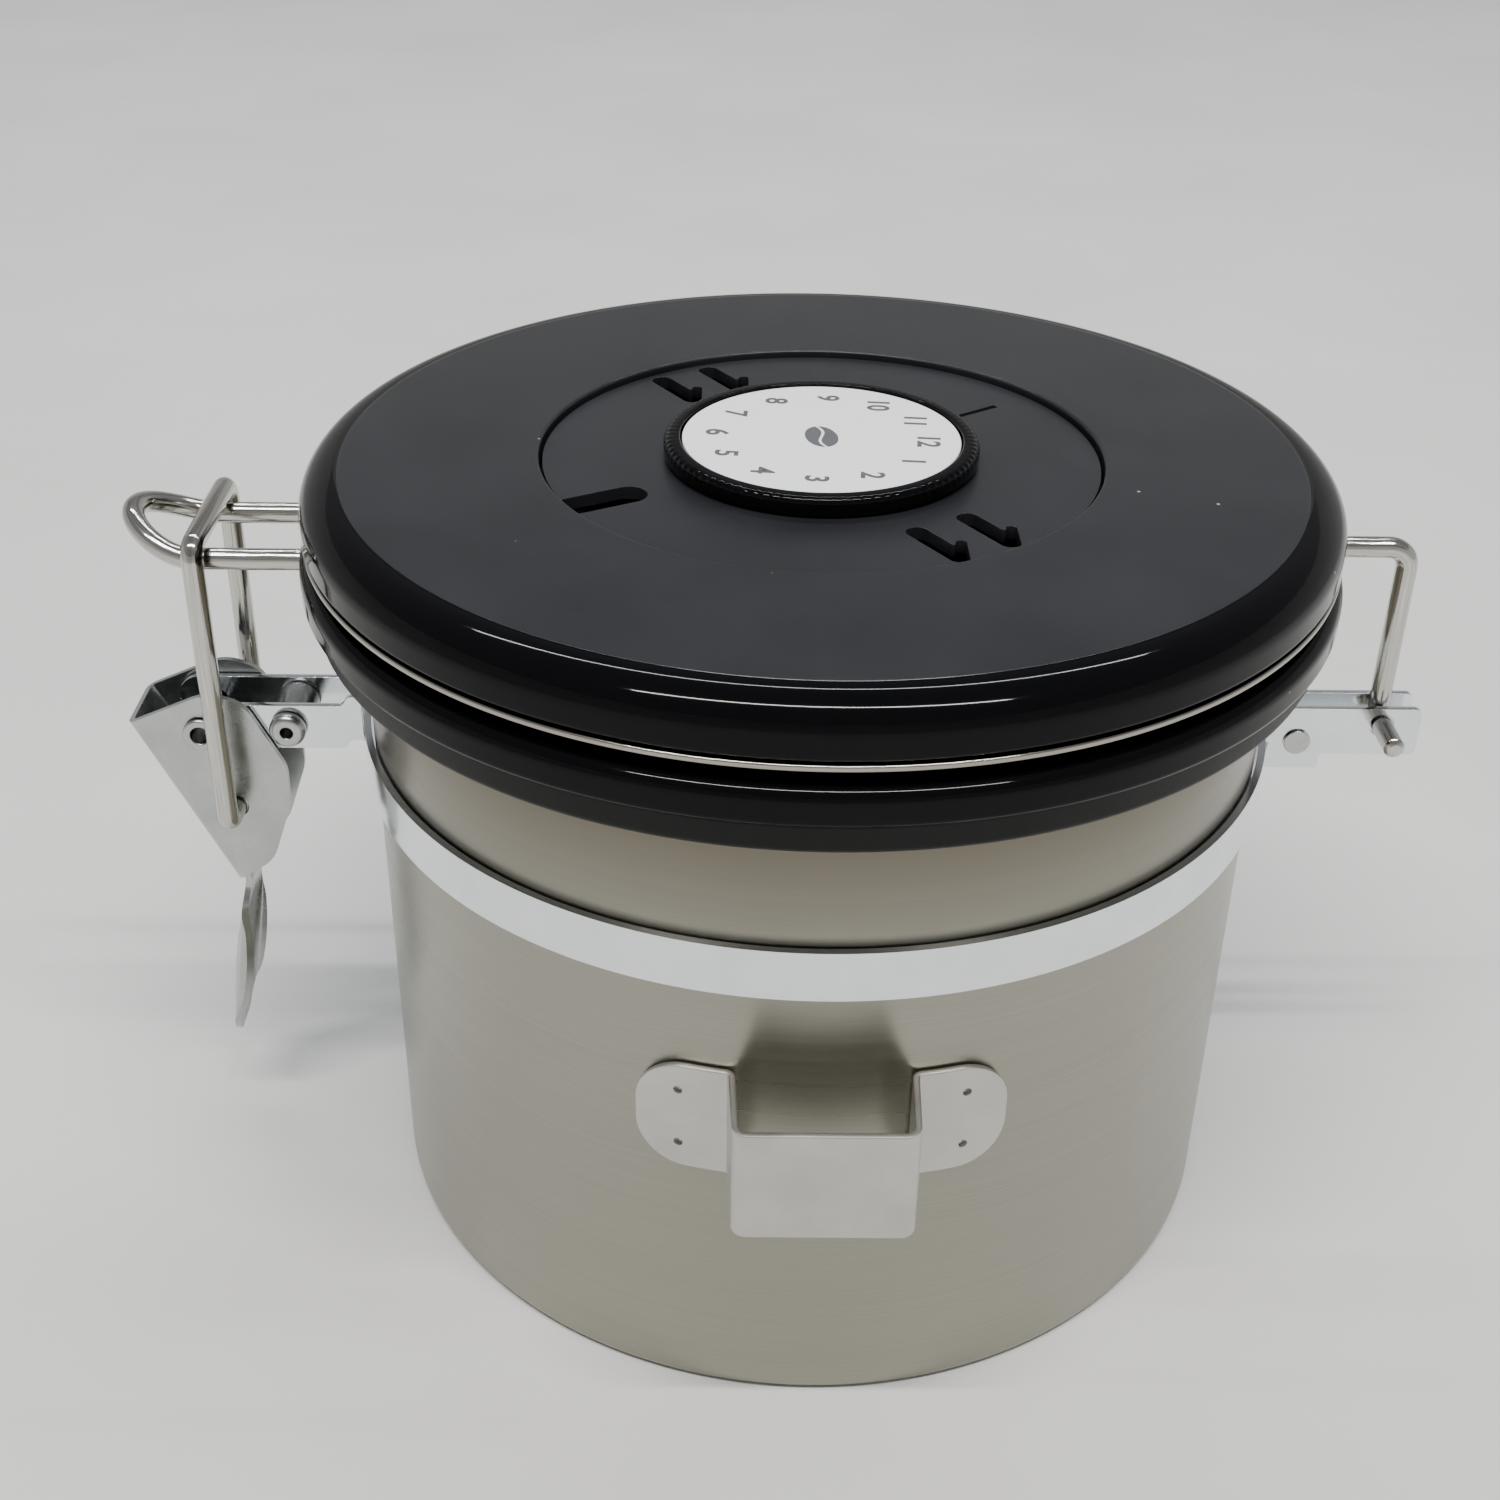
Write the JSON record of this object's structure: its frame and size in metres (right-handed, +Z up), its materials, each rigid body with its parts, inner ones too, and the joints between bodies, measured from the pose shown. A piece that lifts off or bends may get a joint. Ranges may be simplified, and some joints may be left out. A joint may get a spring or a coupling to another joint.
{
  "type": "food canister",
  "caption": "Squat brushed-steel food canister with a clamp-down black lid, wire-bail lever latch, wire hinge, date dial, gas vent valve and scoop bracket.",
  "frame": {"origin": "centre of the canister's underside, on the surface it stands on", "axes": "+Z up along the can; the latch is on -X, the lid's hinge on +X and the scoop bracket on -Y"},
  "size_m": [0.1854, 0.144, 0.1139],
  "materials": {
    "brushed_steel": "horizontally brushed, warm grey",
    "bright_steel": "polished",
    "steel_wire": "polished round wire",
    "satin_steel": "satin",
    "zinc_steel": "zinc-plated, smooth",
    "gloss_black": "high gloss",
    "satin_black": "satin, fine spark texture",
    "black_rubber": "matte silicone",
    "dial_white": "printed",
    "clear_silicone": "soft",
    "filter_felt": "pressed felt"
  },
  "bodies": {
    "canister": {"can_shell": "brushed_steel", "can_base": "brushed_steel", "front_strap": "bright_steel", "rear_strap": "bright_steel", "lever_pivot_rivet": "zinc_steel", "latch_clamp_rivet": "zinc_steel", "latch_clamp_spacer": "zinc_steel", "hinge_clamp_rivet": "zinc_steel", "scoop_bracket": "satin_steel"},
    "lid": {"lid_cover": "satin_black", "lid_pan": "bright_steel", "lid_lower_ring": "gloss_black", "lid_gasket": "black_rubber", "hook_wire": "steel_wire", "hinge_wire": "steel_wire", "lid_screw_1": "zinc_steel", "lid_screw_2": "zinc_steel", "lid_screw_3": "zinc_steel", "lid_screw_4": "zinc_steel", "vent_disc": "satin_black", "valve_body": "satin_black", "valve_guard": "satin_black", "filter_grille": "satin_black", "filter_pad": "filter_felt"},
    "lever": {"latch_lever": "zinc_steel"},
    "bail": {"latch_bail": "steel_wire"},
    "dial": {"date_knob": "gloss_black", "dial_face": "dial_white", "dial_clip": "zinc_steel"},
    "flap": {"valve_flap": "clear_silicone"}
  },
  "joints": [
    {"name": "lid_hinge", "type": "hinge", "parent": "canister", "child": "lid", "pos_m": [0.0821, 0, 0.0713], "axis": [0, 1, 0], "range_deg": [0, 115]},
    {"name": "latch_lever", "type": "hinge", "parent": "canister", "child": "lever", "pos_m": [-0.0873, 0, 0.0699], "axis": [0, 1, 0], "range_deg": [0, 120]},
    {"name": "bail_pivot", "type": "hinge", "parent": "lever", "child": "bail", "pos_m": [-0.0837, 0, 0.0576], "axis": [0, 1, 0], "range_deg": [-92, 0]},
    {"name": "date_dial", "type": "hinge", "parent": "lid", "child": "dial", "pos_m": [0, 0, 0.1114], "axis": [0, 0, 1], "continuous": true},
    {"name": "valve_lift", "type": "slide", "parent": "lid", "child": "flap", "axis": [0, 0, 1], "range_m": [0, 0.0008], "stiffness_N_per_m": 5}
  ],
  "couplings": [
    {"joint": "bail_pivot", "follows": "latch_lever", "ratio": -0.76}
  ]
}
